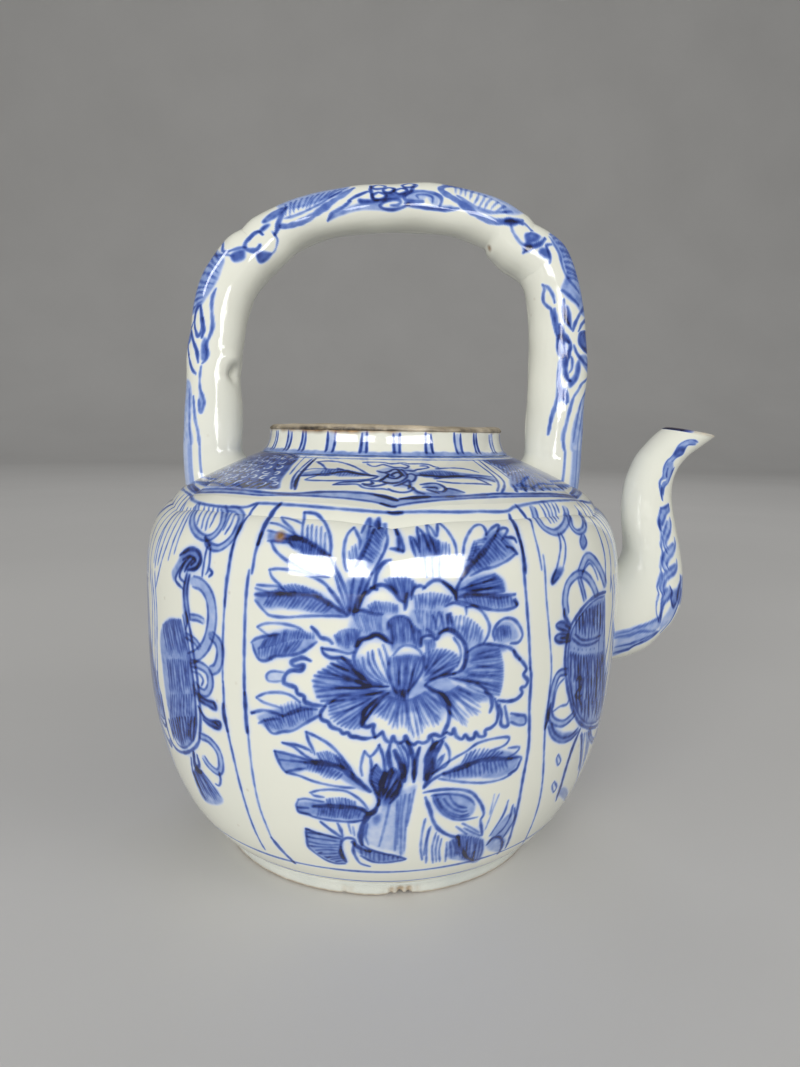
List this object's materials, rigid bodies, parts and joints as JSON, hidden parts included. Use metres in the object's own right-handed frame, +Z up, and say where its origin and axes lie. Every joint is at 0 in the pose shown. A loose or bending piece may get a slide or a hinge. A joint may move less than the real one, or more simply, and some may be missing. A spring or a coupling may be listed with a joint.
{
  "type": "porcelain teapot",
  "caption": "Lobed porcelain wine ewer or teapot with a low open neck, hollow overhead handle, S-curved pouring spout and ring foot, painted in underglaze blue.",
  "frame": {"origin": "centre of the foot ring's resting plane, on the axis of the mouth", "axes": "+Z up along the axis of the mouth and foot, +X toward the spout, handle in the XZ plane, a painted panel faces -Y"},
  "size_m": [0.1682, 0.1382, 0.188],
  "materials": {
    "glaze": "glossy bluish-white glaze over cobalt-blue brush painting",
    "bare_lip": "bare worn lip, mottled brown with a pale edge",
    "bare_foot": "bare fired clay, fine and matt"
  },
  "bodies": {
    "root": {"foot_ring": "bare_foot", "base_floor": "glaze", "bowl_lower": "glaze", "bowl_upper": "glaze", "ridge_band": "glaze", "shoulder": "glaze", "neck_collar": "glaze", "mouth_lip": "bare_lip", "spout_left": "glaze", "spout_right": "glaze", "spout_luting": "glaze", "leg_foot_front": "glaze", "leg_foot_rear": "glaze", "handle_leg_front": "glaze", "handle_leg_rear": "glaze", "joint_front": "glaze", "joint_rear": "glaze", "handle_arch": "glaze"}
  },
  "joints": []
}
